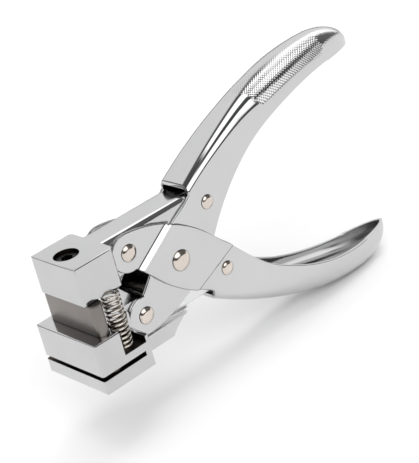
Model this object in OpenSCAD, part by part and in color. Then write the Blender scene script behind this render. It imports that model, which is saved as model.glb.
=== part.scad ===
// Hand-held slot punch with parallel jaws. It punches a hanging slot with a round bump.
// Origin: middle of the slot, at the underside of the die. +X runs back to the handles, +Z is up.
// The levers and their pins are drawn about the main pivot, and at_pivot() puts them in place.
// Both levers share one outline: the lower one is drawn as an upper one and mirrored in Z.

/* [Slot] */
// Length of the punched slot
slot_l = 30; // [24:0.5:31]
// Height of the slot's straight part
slot_t = 5; // [4:0.25:5.5]
// Diameter of the round bump in the middle of the slot
bump_d = 10; // [7:0.25:11]
// Height of the slot over its bump
slot_h = 9; // [7:0.25:9.5]

/* [Lower head] */
// Metal of the head past each end of the slot
head_wall = 2; // [1.5:0.1:6]
// Length of the head, front to back
head_l = 22; // [21:0.25:24]
// Height of the head
head_h = 19.4; // [17:0.2:20]
// Thickness of the die under the throat
die_t = 5.3; // [4:0.1:6.5]
// Height of the throat that takes the sheet
throat_h = 1.8; // [1:0.1:2.4]
// Metal left behind the throat
throat_wall = 2.8; // [2:0.1:4]
// From the head's front to the slot
slot_setback = 4.9; // [3:0.1:6]
// From the head's front to the spring pockets
pocket_setback = 10.9; // [10.8:0.1:11.5]
// Length of a spring pocket
pocket_l = 9.5; // [8:0.1:9.6]
// Width of a spring pocket
pocket_w = 8.5; // [7.2:0.1:9]
// Height of the pocket floors
pocket_z = 10; // [8:0.1:11]
// Height of the lip behind the pockets
lip_h = 12.4; // [11:0.1:15]
// Radius of the heads' upright corners at the front
corner_r = 0.9; // [0.4:0.1:2]
// Radius of the heads' other edges
edge_r = 0.7; // [0.4:0.1:1.5]

/* [Upper block] */
// From the head's side to the side of the block that holds the punch
block_inset = 4.5; // [3:0.1:6]
// Length of the block
block_l = 18.1; // [17:0.1:20]
// Height of the block
block_h = 14.5; // [13.5:0.1:15.5]
// From the head's front to the block's front
block_setback = 3.5; // [2:0.1:4.5]
// Radius of the block's upright corners at the back
block_back_r = 3; // [1:0.1:4]
// Diameter of the screw's bore in the block's top
bore_d = 9.3; // [9:0.1:10]
// From the slot's middle to the screw
screw_x = 2.6; // [2:0.1:3]

/* [Punch] */
// Length of the blade under the block
punch_l = 23.4; // [23:0.1:24]
// Height of the blade's tang in the block
tang_h = 6; // [4:0.1:7]
// Gap between the blade and its guide
guide_gap = 0.1; // [0.05:0.01:0.2]

/* [Linkage] */
// From the slot's middle to the main pivot
pivot_x = 41; // [40:0.25:45]
// Height of the main pivot over the die's underside
pivot_z = 26; // [25.5:0.1:26.5]
// Front pins ahead of the main pivot
front_pin_x = 19.2; // [18.8:0.1:20]
// Front pins over and under the main pivot
front_pin_z = 12.5; // [12:0.1:13]
// Rear pin of the upper lever behind the main pivot
upper_rear_x = 18.5; // [17:0.1:20]
// Rear pin of the lower lever behind the main pivot
lower_rear_x = 19.9; // [17:0.1:21]
// Rear pins over and under the main pivot
rear_pin_z = 13.9; // [13:0.1:14.5]
// Angle that each lever turns from open to closed
stroke_angle = 10.8; // [8:0.1:11]

/* [Levers] */
// Thickness of the levers' sheet
sheet_t = 1.5; // [1:0.1:1.8]
// Radius of the levers' eyes round the front pins
eye_r = 7.3; // [6.5:0.1:7.5]
// Half width of the grip at its fullest
grip_half_w = 9.3; // [8.5:0.1:11]
// From the main pivot to the handles' tips
tip_x = 106.6; // [100:0.5:115]
// Height of the grip's crest over the main pivot
crest_z = 50; // [47:0.5:53]
// Crest behind the main pivot
crest_x = 87.7; // [84:0.5:91]
// Radius of the grip's crest line
grip_r = 103; // [95:1:115]
// Radius of the crest line between the mouth and the grip
shank_r = 220; // [190:2:300]

/* [Pins and springs] */
// Diameter of the main rivet
pivot_d = 5; // [4:0.1:5.4]
// Diameter of the main rivet's heads
pivot_head_d = 8; // [7:0.1:10]
// Diameter of the front rivets
front_d = 4; // [3:0.1:5]
// Diameter of the front rivets' heads
front_head_d = 6.5; // [5.5:0.1:8]
// Diameter of the rear rivets
rear_d = 4; // [3:0.1:4.6]
// Diameter of the rear rivets' heads
rear_head_d = 5.5; // [5:0.1:8]
// Outer diameter of the return springs
spring_d = 6.8; // [5.5:0.1:7]
// Diameter of the springs' wire
wire_d = 0.9; // [0.7:0.05:1]
// Curls of each spring
curls = 12; // [8:1:12]

/* [Hidden] */

$fn = 64;
chrome = [0.80, 0.81, 0.82];
dark_steel = [0.46, 0.44, 0.42];
bright_steel = [0.72, 0.69, 0.65];
black_steel = [0.18, 0.18, 0.19];

// Overrun of every cut past the face that it opens
over = 1;
// Radial gap of a rivet in its holes
pin_gap = 0.05;
// Gap between a lever's plate and the tongue in it, and between two plates that lap
side_gap = 0.15;
lap_gap = 0.1;
// Gap above and below a pin in its slot, and past the ends of its travel
slot_gap = 0.25;
// Gap round the other pieces that seat in one another
seat_gap = 0.1;

// Width of the jaws' tongues and arms
tongue_w = 12.9;
tongue_half = tongue_w / 2;
base_in = tongue_half + side_gap;
base_out = base_in + sheet_t;
raised_in = base_out + lap_gap;
raised_out = raised_in + sheet_t;

// Head, throat and slot
head_w = slot_l + 2 * head_wall;
head_front = -slot_t / 2 - slot_setback;
head_back = head_front + head_l;
throat_end = head_back - throat_wall;
pocket_front = head_front + pocket_setback;
core_half = head_w / 2 - pocket_w;

// Upper block
block_w = head_w - 2 * block_inset;
block_front = head_front + block_setback;
block_back = block_front + block_l;
arm_top = 20;
block_top = pivot_z + arm_top;
block_bottom = block_top - block_h;

// Travel of the jaw and of the pins in their slots
link_r = norm([front_pin_x, front_pin_z]);
link_angle = atan2(front_pin_z, front_pin_x);
jaw_travel = 2 * (front_pin_z - link_r * sin(link_angle - stroke_angle));
function pin_slide(rear_x) =
    (front_pin_x + rear_x) * (cos(stroke_angle) - 1)
    + (front_pin_z + rear_pin_z) * sin(stroke_angle);

// Jaw arms: half heights of the arm, its end round the slot, and the eye round the front pin
arm_inner = 8.2;
arm_edge_r = 2.6;
tongue_eye_r = 7;
slot_half = rear_d / 2 + slot_gap;
arm_end_wall = 1.8;
arm_end_r = slot_half + arm_end_wall;
arm_taper = 7;
heel_half = base_out;
heel_ledge = 5.6;
heel_back = -10.3;
heel_reach = 10.3;
heel_rise_shares = [[0.21, 0.38], [0.65, 0.88], [1, 1]];

// Rivets and the tube on the main one
head_rise_share = 0.19;
spacer_d = 8;

// Screw and its seat
screw_d = 5;
screw_head_d = 8.5;
screw_head_h = 5;
screw_recess = 1.2;
screw_hex = 4;
screw_hex_sides = 6;
screw_hex_h = 2.6;
screw_l = 12;
bore_h = screw_recess + screw_head_h;

// Springs
spring_gap = 0.1;
spring_front_gap = 0.3;
spring_x = pocket_front + spring_front_gap + spring_d / 2;
spring_y = core_half + spring_gap + spring_d / 2;
spring_l = block_bottom - seat_gap - pocket_z;
spring_pin_d = 4;
spring_pin_h = 6;
spring_pin_depth = 3;
spring_lead_share = 1.7;

// Lever outline about the main pivot. The belly arc runs on from the eye, and the rim arc from it.
belly_x = -23;
belly_z = 31.4;
rim_x = 90.1;
rim_z = -49.2;
mouth_x = 11.8;
belly_r = norm([belly_x + front_pin_x, belly_z + front_pin_z]) + eye_r;
belly_to_rim = norm([rim_x - belly_x, rim_z - belly_z]);
rim_r = belly_to_rim - belly_r;
rim_top = rim_z + rim_r;
turn_x = belly_x + (rim_x - belly_x) * belly_r / belly_to_rim;
eye_angle = -atan2(belly_z + front_pin_z, -front_pin_x - belly_x);
waist_angle = 80;
front_edge_shares = [[0.123, 0.304], [0.203, 0.391], [0.352, 0.559], [0.46, 0.652], [0.558, 0.728],
    [0.674, 0.804], [0.8, 0.873], [0.942, 0.944], [1, 1]];
outline_steps = 24;

// The lower lever's rim is fuller beside its step
step_swell = 2.1;
step_swell_start_x = 15.5;
step_swell_x = 24.3;
step_swell_end_x = 42;

// Lines where the lower lever's plates step outwards, as on an upper lever. A flat land lies
// between each line and its steep ramp, and the inner ramp lies further in, to keep the wall whole.
left_step = [[-1.76, -14.85], [-17.06, -5.05]];
step_land = 0.9;
step_w = 0.6;
step_back = 0.8;
step_end_x = 25.05;
right_step = [[6.33, 15.31], [step_end_x, stepped_rim(step_end_x)]];
reach = 2 * (front_pin_x + eye_r);

// Grip: where the shank's arc meets it, where it swells, and where it tapers to the tip
grip_start_x = 49.3;
swell_start_x = 42;
swell_end_x = 64;
taper_x = 66;
arch_x = 60;
corner_share = 0.42;
corner_power = 1.6;
taper_in_power = 1.7;
taper_out_power = 0.6;
arch_limit_share = 0.94;
corner_steps = 8;
body_stations = 26;
nose_stations = 9;
nose_end_share = 0.985;
least_r = 0.5;

// Height of a lever's lower edge at x: belly arc, rim arc, then level to the tip
function rim(x) =
    x < turn_x ? belly_z - sqrt(pow(belly_r, 2) - pow(x - belly_x, 2))
    : x < rim_x ? rim_z + sqrt(pow(rim_r, 2) - pow(x - rim_x, 2))
    : rim_top;
function stepped_rim(x) =
    rim(x) - step_swell * smooth(x < step_swell_x
        ? (x - step_swell_start_x) / (step_swell_x - step_swell_start_x)
        : (step_swell_end_x - x) / (step_swell_end_x - step_swell_x));

// The lower lever's channel starts under its step
function step_line(x) =
    right_step[0][1] + (x - right_step[0][0]) * (right_step[1][1] - right_step[0][1])
    / (right_step[1][0] - right_step[0][0]);
function channel_rim(x, stepped) =
    !stepped ? rim(x) : x < step_end_x ? max(stepped_rim(x), step_line(x)) : stepped_rim(x);

// Height of the crest at x, inwards by t
grip_cz = crest_z - grip_r;
grip_start_u = (grip_start_x - crest_x) / grip_r;
grip_start_v = sqrt(1 - pow(grip_start_u, 2));
shank_cx = crest_x + (grip_r - shank_r) * grip_start_u;
shank_cz = grip_cz + (grip_r - shank_r) * grip_start_v;
function nose_share(x, t) = min(1, (x - crest_x) / (tip_x - t - crest_x));
function crest(x, t) =
    x < grip_start_x ? shank_cz + sqrt(pow(shank_r - t, 2) - pow(x - shank_cx, 2))
    : x < crest_x ? grip_cz + sqrt(pow(grip_r - t, 2) - pow(x - crest_x, 2))
    : rim_top + (crest_z - rim_top - t) * sqrt(1 - pow(nose_share(x, t), 2));

// Half width of the channel at x, inwards by t
function smooth(v) = v <= 0 ? 0 : v >= 1 ? 1 : v * v * (3 - 2 * v);
function taper(v) = v <= 0 ? 1 : v >= 1 ? 0 : pow(1 - pow(v, taper_in_power), taper_out_power);
function half_w(x, t) =
    (base_out - t + (grip_half_w - base_out) * smooth((x - swell_start_x) / (swell_end_x - swell_start_x)))
    * taper((x - taper_x) / (tip_x - t - taper_x));

// Radius of the channel's bend at x, which grows until the section is an arch
function bend_share(x) =
    x > arch_x ? 1
    : corner_share + (1 - corner_share) * pow((x - mouth_x) / (arch_x - mouth_x), corner_power);
function bend_w(x, t) =
    min(max(half_w(x, 0) * bend_share(x) - t, least_r), half_w(x, t) * arch_limit_share);
function bend_h(x, t, stepped) =
    min(bend_w(x, t), (crest(x, t) - channel_rim(x, stepped)) * arch_limit_share);

// One section of the channel, from the near rim over the crest to the far rim
function section(x, t, stepped) =
    let (w = half_w(x, t), c = crest(x, t), rw = bend_w(x, t), rh = bend_h(x, t, stepped),
        z = channel_rim(x, stepped))
    concat(
        [[x, -w, z]],
        [for (i = [0:corner_steps]) let (a = 90 * i / corner_steps)
            [x, -w + rw * (1 - cos(a)), c - rh * (1 - sin(a))]],
        [for (i = [corner_steps:-1:0]) let (a = 90 * i / corner_steps)
            [x, w - rw * (1 - cos(a)), c - rh * (1 - sin(a))]],
        [[x, w, z]]
    );
section_n = 2 * corner_steps + 4;

// Places of the sections: one span to the step's end, even steps to the crest, closing up in the nose
function stations(t) = concat(
    [mouth_x],
    [for (i = [0:body_stations - 1]) step_end_x + (crest_x - step_end_x) * i / body_stations],
    [for (i = [0:nose_stations])
        crest_x + (tip_x - t - crest_x) * nose_end_share * sin(90 * i / nose_stations)]
);

function quad(a, b, c, d) = [[a, b, c], [a, c, d]];

// The handle's channel: an outer and an inner skin joined at the mouth, the rims and the tip
module channel(stepped) {
    outer = [for (x = stations(0)) each section(x, 0, stepped)];
    inner = [for (x = stations(sheet_t)) each section(x, sheet_t, stepped)];
    n = section_n;
    last = len(stations(0)) - 1;
    o = len(outer);
    faces = concat(
        [for (j = [0:last - 1], k = [0:n - 2])
            each quad(j * n + k, j * n + k + 1, (j + 1) * n + k + 1, (j + 1) * n + k)],
        [for (j = [0:last - 1], k = [0:n - 2])
            each quad(o + j * n + k, o + (j + 1) * n + k, o + (j + 1) * n + k + 1, o + j * n + k + 1)],
        [for (k = [0:n - 2]) each quad(k, o + k, o + k + 1, k + 1)],
        [for (j = [0:last - 1]) each quad(j * n, (j + 1) * n, o + (j + 1) * n, o + j * n)],
        [for (j = [0:last - 1])
            each quad(o + j * n + n - 1, o + (j + 1) * n + n - 1, (j + 1) * n + n - 1, j * n + n - 1)],
        [for (k = [1:n - 2]) [last * n, last * n + k, last * n + k + 1]],
        [for (k = [1:n - 2]) [o + last * n, o + last * n + k + 1, o + last * n + k]],
        quad(o + last * n, last * n, last * n + n - 1, o + last * n + n - 1)
    );
    polyhedron(points = concat(outer, inner), faces = faces);
}

module at_pivot() {
    translate([pivot_x, 0, pivot_z]) children();
}

// Extrudes a side view, drawn in X and Z, from y0 to y1
module slab(y0, y1) {
    translate([0, y1, 0]) rotate([90, 0, 0]) linear_extrude(y1 - y0) children();
}

// A cylinder across the part at a point of the side view
module cross_pin(x, z, r, half) {
    translate([x, 0, z]) rotate([90, 0, 0]) cylinder(r = r, h = 2 * half, center = true);
}

// Plan of the slot, grown by gap
module slot_plan(gap) {
    end_r = slot_t / 2 + gap;
    square([slot_t + 2 * gap, slot_l - slot_t], center = true);
    for (s = [-1, 1]) translate([0, s * (slot_l - slot_t) / 2]) circle(r = end_r);
    intersection() {
        translate([slot_h - slot_t / 2 - bump_d / 2, 0]) circle(r = bump_d / 2 + gap);
        translate([-slot_t / 2 - gap, -bump_d]) square([slot_h + 2 * gap, 2 * bump_d]);
    }
}

// Rectangle with four round corners: front ones of radius r0, back ones of radius r1
module round_rect(x0, x1, half, r0, r1) {
    translate([x0 + r0, -half]) square([x1 - r1 - x0 - r0, 2 * half]);
    translate([x0, -half + r0]) square([r0 + over, 2 * (half - r0)]);
    translate([x1 - r1 - over, -half + r1]) square([r1 + over, 2 * (half - r1)]);
    for (s = [-1, 1]) {
        translate([x0 + r0, s * (half - r0)]) circle(r = r0);
        translate([x1 - r1, s * (half - r1)]) circle(r = r1);
    }
}

// Block with rounded upright corners and edges, from z0 to z1
module soft_block(x0, x1, half, z0, z1, r_front, r_back) {
    mid = (z0 + z1) / 2;
    intersection() {
        translate([0, 0, z0]) linear_extrude(z1 - z0) round_rect(x0, x1, half, r_front, r_back);
        translate([0, 0, mid]) slab(-half, half) round_rect(x0, x1, z1 - mid, edge_r, edge_r);
        translate([x0, 0, mid]) rotate([90, 0, 90])
            linear_extrude(x1 - x0) round_rect(-half, half, z1 - mid, edge_r, edge_r);
    }
}

// Side view of an upper jaw's tongue and arm about the main pivot
module arm_side(rear_x, front_x) {
    end_x = rear_x + pin_slide(rear_x) + slot_gap;
    translate([-front_pin_x, front_pin_z]) circle(r = tongue_eye_r);
    polygon([[front_x, front_pin_z - tongue_eye_r], [-front_pin_x, front_pin_z - tongue_eye_r],
        [-front_pin_x, arm_inner], [end_x - arm_taper, arm_inner], [end_x, rear_pin_z - arm_end_r],
        [end_x, rear_pin_z + arm_end_r], [end_x - arm_taper, arm_top], [front_x, arm_top]]);
    translate([end_x, rear_pin_z]) circle(r = arm_end_r);
}

// The arm with its outer edges rounded
module arm(rear_x, front_x) {
    end_x = rear_x + pin_slide(rear_x) + slot_gap + arm_end_r;
    intersection() {
        slab(-tongue_half, tongue_half) arm_side(rear_x, front_x);
        translate([front_x, 0, 0]) rotate([90, 0, 90]) linear_extrude(end_x - front_x)
            arm_section();
    }
}

// Section of the arm: square inside, rounded along its outer edges
module arm_section() {
    translate([-tongue_half, 0]) square([tongue_w, arm_top - arm_edge_r]);
    translate([-tongue_half + arm_edge_r, 0]) square([tongue_w - 2 * arm_edge_r, arm_top]);
    for (s = [-1, 1])
        translate([s * (tongue_half - arm_edge_r), arm_top - arm_edge_r]) circle(r = arm_edge_r);
}

// Slot in which a rear pin slides
module pin_slot(rear_x) {
    slide = pin_slide(rear_x);
    half = tongue_half + over;
    cross_pin(rear_x, rear_pin_z, slot_half, half);
    cross_pin(rear_x + slide, rear_pin_z, slot_half, half);
    slab(-half, half) translate([rear_x, rear_pin_z - slot_half]) square([slide, 2 * slot_half]);
}

// Side view of the heel, which rises at its back into the arm's underside
module heel_side() {
    x0 = head_back - over;
    x1 = pivot_x + heel_back;
    arm_bottom = pivot_z - arm_top;
    polygon(concat([[x0, 0], [x1, 0]],
        [for (s = heel_rise_shares) [x1 + s[0] * heel_reach, s[1] * arm_bottom]],
        [[x0, arm_bottom + arm_edge_r]]));
}

// Heel under the lower jaw's tongue, flush with the head's underside, with a ledge on each side
module heel() {
    slab(-tongue_half, tongue_half) heel_side();
    slab(-heel_half, heel_half) intersection() {
        heel_side();
        translate([head_back - over, 0]) square([head_l + heel_reach, heel_ledge]);
    }
}

// Spring pockets at the head's back corners, with the lip left behind them
module pockets() {
    for (s = [-1, 1]) {
        y0 = s > 0 ? core_half : -head_w / 2 - over;
        translate([pocket_front, y0, pocket_z])
            cube([pocket_l, head_w / 2 + over - core_half, head_h]);
        translate([pocket_front + pocket_l - over, y0, lip_h])
            cube([head_back - pocket_front - pocket_l + 2 * over, head_w / 2 + over - core_half, head_h]);
    }
}

module lower_jaw() {
    color(chrome) difference() {
        union() {
            soft_block(head_front, head_back, head_w / 2, 0, head_h, corner_r, corner_r);
            at_pivot() mirror([0, 0, 1]) arm(lower_rear_x, head_back - over - pivot_x);
            heel();
        }
        translate([head_front - over, -head_w / 2 - over, die_t])
            cube([throat_end - head_front + over, head_w + 2 * over, throat_h]);
        translate([0, 0, -over]) linear_extrude(head_h + 2 * over) slot_plan(guide_gap);
        pockets();
        for (s = [-1, 1]) {
            translate([spring_x, s * spring_y, pocket_z - spring_pin_depth])
                cylinder(r = spring_pin_d / 2 + pin_gap, h = spring_pin_depth + over);
            at_pivot() translate([-front_pin_x, s * (tongue_half + base_out + side_gap) / 2, -front_pin_z])
                rotate([90, 0, 0])
                cylinder(r = eye_r + slot_gap, h = base_out + side_gap - tongue_half, center = true);
        }
        at_pivot() cross_pin(-front_pin_x, -front_pin_z, front_d / 2 + pin_gap, head_w);
        at_pivot() mirror([0, 0, 1]) pin_slot(lower_rear_x);
    }
}

module upper_jaw() {
    color(chrome) difference() {
        union() {
            soft_block(block_front, block_back, block_w / 2, block_bottom, block_top, corner_r, block_back_r);
            at_pivot() arm(upper_rear_x, block_back - block_back_r - pivot_x);
        }
        translate([screw_x, 0, block_top - bore_h]) cylinder(r = bore_d / 2, h = bore_h + over);
        translate([screw_x, 0, block_bottom - over])
            cylinder(r = screw_d / 2 + seat_gap, h = block_h + over);
        translate([-slot_t / 2 - seat_gap, -bump_d / 2 - seat_gap, block_bottom - over])
            cube([slot_h + 2 * seat_gap, bump_d + 2 * seat_gap, tang_h + seat_gap + over]);
        at_pivot() cross_pin(-front_pin_x, front_pin_z, front_d / 2 + pin_gap, tongue_w);
        at_pivot() pin_slot(upper_rear_x);
    }
}

module punch() {
    color(dark_steel) difference() {
        union() {
            translate([0, 0, block_bottom - punch_l]) linear_extrude(punch_l) slot_plan(0);
            translate([-slot_t / 2, -bump_d / 2, block_bottom - over])
                cube([slot_h, bump_d, tang_h + over]);
        }
        translate([screw_x, 0, block_top - bore_h - screw_l])
            cylinder(r = screw_d / 2 + pin_gap, h = screw_l + tang_h);
    }
}

module punch_screw() {
    top = block_top - screw_recess;
    color(black_steel) difference() {
        union() {
            translate([screw_x, 0, top - screw_head_h]) cylinder(r = screw_head_d / 2, h = screw_head_h);
            translate([screw_x, 0, top - screw_head_h - screw_l + over])
                cylinder(r = screw_d / 2, h = screw_l);
        }
        translate([screw_x, 0, top - screw_hex_h])
            cylinder(r = screw_hex / 2 / cos(180 / screw_hex_sides), h = screw_hex_h + over,
                $fn = screw_hex_sides);
    }
}

// Side view of a lever's plate: eye, front edge up to the mouth, and the belly arc back.
// With tail, it runs on under the channel to where the step's line meets the rim.
module plate_side(tail) {
    mouth_top = crest(mouth_x, 0) - bend_h(mouth_x, 0, false);
    end_x = tail ? step_end_x : mouth_x;
    eye = [-front_pin_x, -front_pin_z];
    belly = [for (i = [0:outline_steps])
        let (x0 = belly_x + belly_r * cos(eye_angle), x = x0 + (end_x - x0) * i / outline_steps)
        [x, tail ? stepped_rim(x) : rim(x)]];
    translate(eye) circle(r = eye_r);
    polygon(concat(
        [eye, eye + eye_r * [cos(waist_angle), sin(waist_angle)]],
        [for (s = front_edge_shares)
            eye + [s[0] * (mouth_x + front_pin_x), s[1] * (mouth_top + front_pin_z)]],
        tail ? [[mouth_x, step_line(mouth_x)]] : [],
        [for (i = [outline_steps:-1:0]) belly[i]]
    ));
}

// Prism along the line from p to q whose section is drawn to the line's right and along Y
module along(p, q) {
    d = q - p;
    translate([p[0], 0, p[1]]) rotate([0, 90 - atan2(d[1], d[0]), 0])
        translate([0, 0, -reach]) linear_extrude(norm(d) + 2 * reach) children();
}

// Sheet that a step takes away outside and inside. Both ramps run on past the faces that they cut.
step_rise = raised_out - base_out;
step_overrun = step_w * over / step_rise;
module step_outer(line) {
    along(line[0], line[1]) polygon([[-reach, base_out], [step_land, base_out],
        [step_land + step_w + step_overrun, raised_out + over], [-reach, raised_out + over]]);
}
module step_inner(line) {
    x0 = step_land + step_back;
    along(line[0], line[1]) polygon([[x0 - step_overrun, base_in - over],
        [x0 + step_w, raised_in], [reach, raised_in], [reach, base_in - over]]);
}

module lever_holes(rear_x) {
    cross_pin(-front_pin_x, -front_pin_z, front_d / 2 + pin_gap, head_w);
    cross_pin(0, 0, pivot_d / 2 + pin_gap, head_w);
    cross_pin(rear_x, rear_pin_z, rear_d / 2 + pin_gap, head_w);
}

module upper_handle() {
    color(chrome) at_pivot() difference() {
        union() {
            for (s = [0, 1]) mirror([0, s, 0]) slab(base_in, base_out) plate_side(false);
            channel(false);
        }
        lever_holes(upper_rear_x);
    }
}

module lower_handle() {
    color(chrome) at_pivot() mirror([0, 0, 1]) difference() {
        union() {
            for (s = [0, 1]) mirror([0, s, 0]) difference() {
                slab(base_in, raised_out) plate_side(true);
                step_outer(left_step);
                step_outer(right_step);
                intersection() {
                    step_inner(left_step);
                    step_inner(right_step);
                }
            }
            channel(true);
        }
        lever_holes(lower_rear_x);
    }
}

// Rivet across the part, with a domed head on each end
module rivet(x, z, shank_d, head_d, seat) {
    dome_h = head_d * head_rise_share;
    dome_r = (pow(head_d / 2, 2) + pow(dome_h, 2)) / (2 * dome_h);
    color(bright_steel) translate([x, 0, z]) {
        rotate([90, 0, 0]) cylinder(r = shank_d / 2, h = 2 * seat, center = true);
        for (s = [0, 1]) mirror([0, s, 0]) translate([0, seat, 0]) rotate([-90, 0, 0])
            rotate_extrude() intersection() {
                translate([0, dome_h - dome_r]) circle(r = dome_r);
                square([head_d / 2, dome_h]);
            }
    }
}

module pivot_rivet() {
    at_pivot() rivet(0, 0, pivot_d, pivot_head_d, raised_out);
}

module upper_front_rivet() {
    at_pivot() rivet(-front_pin_x, front_pin_z, front_d, front_head_d, base_out);
}

module lower_front_rivet() {
    at_pivot() rivet(-front_pin_x, -front_pin_z, front_d, front_head_d, base_out);
}

module upper_rear_rivet() {
    at_pivot() rivet(upper_rear_x, rear_pin_z, rear_d, rear_head_d, base_out);
}

module lower_rear_rivet() {
    at_pivot() rivet(lower_rear_x, -rear_pin_z, rear_d, rear_head_d, base_out);
}

// Tube on the main rivet that keeps the upper lever's plates apart
module pivot_spacer() {
    color(bright_steel) at_pivot() difference() {
        cross_pin(0, 0, spacer_d / 2, base_in);
        cross_pin(0, 0, pivot_d / 2 + pin_gap, base_in + over);
    }
}

// Middle line of a spring: upright for a wire's thickness, round its curls, and upright again
curl_rings = 8;
coil_turn = 360 / curl_rings;
wire_sides = 6;
coil_r = (spring_d - wire_d) / 2;
lead_h = spring_lead_share * wire_d;
function coil_point(i) =
    let (a = coil_turn * (i + 1 / 2), rise = spring_l - 2 * lead_h)
    [coil_r * cos(a), coil_r * sin(a), lead_h + rise * i / (curls * curl_rings)];
function end_point(z, a) = [coil_r * cos(a), coil_r * sin(a), z];
spring_line = concat(
    [end_point(0, 0), end_point(wire_d, 0)],
    [for (i = [0:curls * curl_rings]) coil_point(i)],
    [end_point(spring_l - wire_d, coil_turn), end_point(spring_l, coil_turn)]
);

function unit(v) = v / norm(v);
function heading(line, i) =
    i < 2 || i > len(line) - 3 ? [0, 0, 1] : unit(line[i + 1] - line[i - 1]);
function ring(line, i) =
    let (t = heading(line, i), out = [line[i][0], line[i][1], 0],
        n = unit(out - (out * t) * t), b = cross(t, n))
    [for (k = [0:wire_sides - 1]) let (a = 360 * k / wire_sides)
        line[i] + wire_d / 2 * (cos(a) * n + sin(a) * b)];

module spring() {
    n = wire_sides;
    last = len(spring_line) - 1;
    points = [for (i = [0:last]) each ring(spring_line, i)];
    faces = concat(
        [for (i = [0:last - 1], k = [0:n - 1]) let (m = (k + 1) % n)
            each quad(i * n + k, (i + 1) * n + k, (i + 1) * n + m, i * n + m)],
        [for (k = [1:n - 2]) [0, k, k + 1]],
        [for (k = [1:n - 2]) [last * n, last * n + k + 1, last * n + k]]
    );
    polyhedron(points = points, faces = faces);
}

// Least gap between a curl and the next, measured between their rings' points
function curl_gap() =
    min([for (i = [2:len(spring_line) - 3 - curl_rings], a = ring(spring_line, i),
        b = ring(spring_line, i + curl_rings)) norm(a - b)]);

module spring_at(side) {
    color(bright_steel) translate([spring_x, side * spring_y, pocket_z])
        mirror([0, side < 0 ? 1 : 0, 0]) spring();
}

module near_spring() {
    spring_at(-1);
}

module far_spring() {
    spring_at(1);
}

// Pin in a pocket's floor, inside the spring
module spring_pin_at(side) {
    color(bright_steel) translate([spring_x, side * spring_y, pocket_z - spring_pin_depth])
        cylinder(r = spring_pin_d / 2, h = spring_pin_h);
}

module near_spring_pin() {
    spring_pin_at(-1);
}

module far_spring_pin() {
    spring_pin_at(1);
}

echo(jaw_travel = jaw_travel, curl_gap = curl_gap(), rim_top = rim_top);

lower_jaw();
upper_jaw();
punch();
punch_screw();
upper_handle();
lower_handle();
pivot_rivet();
pivot_spacer();
upper_front_rivet();
lower_front_rivet();
upper_rear_rivet();
lower_rear_rivet();
near_spring();
far_spring();
near_spring_pin();
far_spring_pin();
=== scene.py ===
"""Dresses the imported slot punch: fine levers, springs and rivets, metal finishes, floor, light, camera."""

import math

import bmesh
import bpy
import numpy as np
from mathutils import Matrix, Vector
from mathutils.geometry import delaunay_2d_cdt


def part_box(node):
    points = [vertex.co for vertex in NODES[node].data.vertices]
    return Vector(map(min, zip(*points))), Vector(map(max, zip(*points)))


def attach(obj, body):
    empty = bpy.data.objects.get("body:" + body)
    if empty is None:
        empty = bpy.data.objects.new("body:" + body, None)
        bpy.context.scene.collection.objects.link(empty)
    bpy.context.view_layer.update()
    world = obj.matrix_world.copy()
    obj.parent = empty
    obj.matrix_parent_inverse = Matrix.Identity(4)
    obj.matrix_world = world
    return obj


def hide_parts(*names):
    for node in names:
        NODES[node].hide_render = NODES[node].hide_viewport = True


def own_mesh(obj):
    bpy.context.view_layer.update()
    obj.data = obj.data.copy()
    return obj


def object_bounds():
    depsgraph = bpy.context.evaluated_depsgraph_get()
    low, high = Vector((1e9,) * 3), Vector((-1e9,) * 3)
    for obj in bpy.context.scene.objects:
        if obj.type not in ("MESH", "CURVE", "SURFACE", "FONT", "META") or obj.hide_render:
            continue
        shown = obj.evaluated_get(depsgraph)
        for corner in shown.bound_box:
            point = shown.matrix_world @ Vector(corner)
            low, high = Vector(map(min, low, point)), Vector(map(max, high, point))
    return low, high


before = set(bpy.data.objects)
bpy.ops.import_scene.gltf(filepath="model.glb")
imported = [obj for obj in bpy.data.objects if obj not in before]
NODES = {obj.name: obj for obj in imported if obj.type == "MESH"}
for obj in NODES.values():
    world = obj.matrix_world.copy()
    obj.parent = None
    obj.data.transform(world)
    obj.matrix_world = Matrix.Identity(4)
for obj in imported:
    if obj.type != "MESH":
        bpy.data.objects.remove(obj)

CAD_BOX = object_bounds()
MM = 0.001

# Camera, fitted to the photo's corners, rivets and handle outlines. Rows: right, down, forward.
CAMERA_AT = Vector((-237.434, -414.486, 263.261)) * MM
CAMERA_ROWS = (
    (0.720525, -0.654594, -0.228963),
    (-0.444479, -0.183301, -0.877198),
    (0.531925, 0.733243, -0.422725),
)
LENS, SENSOR = 120.42, 36
CLIP = (0.02, 20)


def placed(name, data):
    """A new object in the scene."""
    obj = bpy.data.objects.new(name, data)
    bpy.context.scene.collection.objects.link(obj)
    return obj


def make_camera():
    data = bpy.data.cameras.new("Camera")
    data.sensor_width = SENSOR
    data.lens = LENS
    data.clip_start, data.clip_end = CLIP
    camera = placed("Camera", data)
    right, down, ahead = (Vector(r) for r in CAMERA_ROWS)
    turn = Matrix((right, -down, -ahead)).transposed()
    camera.matrix_world = Matrix.Translation(CAMERA_AT) @ turn.to_4x4()
    bpy.context.scene.camera = camera


make_camera()

# Sizes of the upper lever in millimetres from the main pivot, as in the part's source. The lower lever
# has the same form upside down, and what is its own is given in the upper one's upright form too.
PIVOT = np.array([41.0, 0.0, 26.0])
FRONT_PIN = np.array([-19.2, -12.5])
UPPER_REAR, LOWER_REAR = (18.5, 13.9), (19.9, 13.9)
PIN_HOLE, PIVOT_HOLE = 2.05, 2.55

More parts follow.
